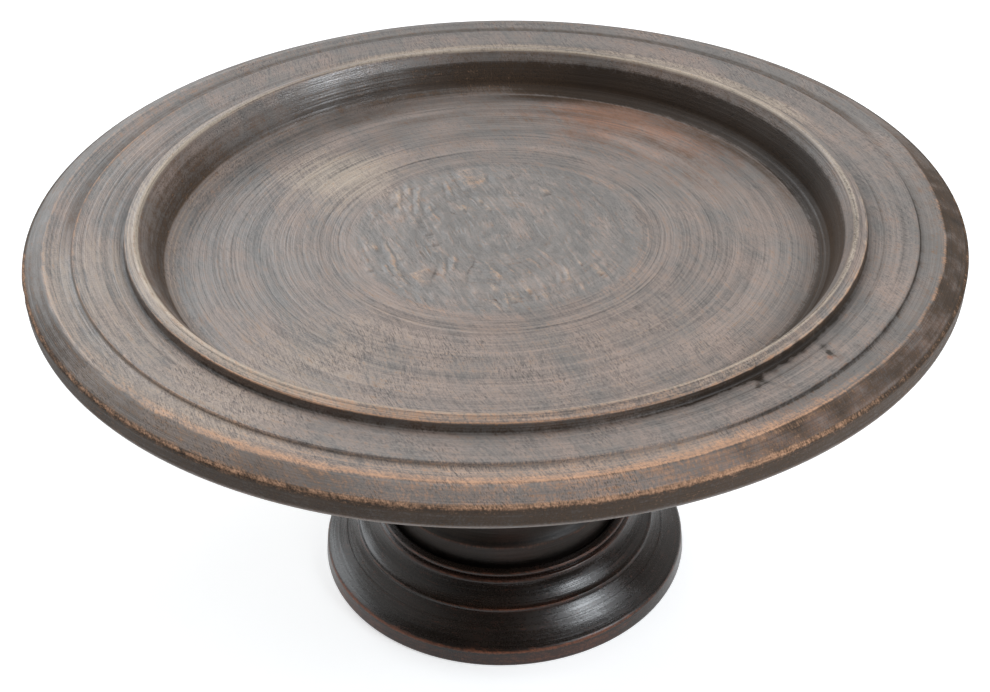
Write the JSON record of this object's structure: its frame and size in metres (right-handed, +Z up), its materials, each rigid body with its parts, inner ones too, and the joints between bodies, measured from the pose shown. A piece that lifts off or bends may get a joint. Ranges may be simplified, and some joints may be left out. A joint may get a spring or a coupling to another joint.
{
  "type": "pedestal tray",
  "caption": "Round turned wooden tray with a sunk well and moulded rim, raised on a waisted stem and a flared moulded foot.",
  "frame": {"origin": "middle of the flat ring that the foot stands on", "axes": "+Z up along the turning axis, +X to the right and +Y away from the viewer"},
  "size_m": [0.36, 0.36, 0.1773],
  "materials": {
    "dish_wood": "dark stained hardwood, worn satin, edges rubbed to brown",
    "foot_wood": "dark stained hardwood, waxed, low gloss",
    "bamboo": "stained bamboo peg end",
    "wedge_wood": "bare hardwood"
  },
  "bodies": {
    "root": {"dish": "dish_wood", "stem": "foot_wood", "foot": "foot_wood", "dish_peg_1": "bamboo", "dish_peg_2": "bamboo", "dish_peg_3": "bamboo", "foot_wedge_1": "wedge_wood", "foot_wedge_2": "wedge_wood"}
  },
  "joints": []
}
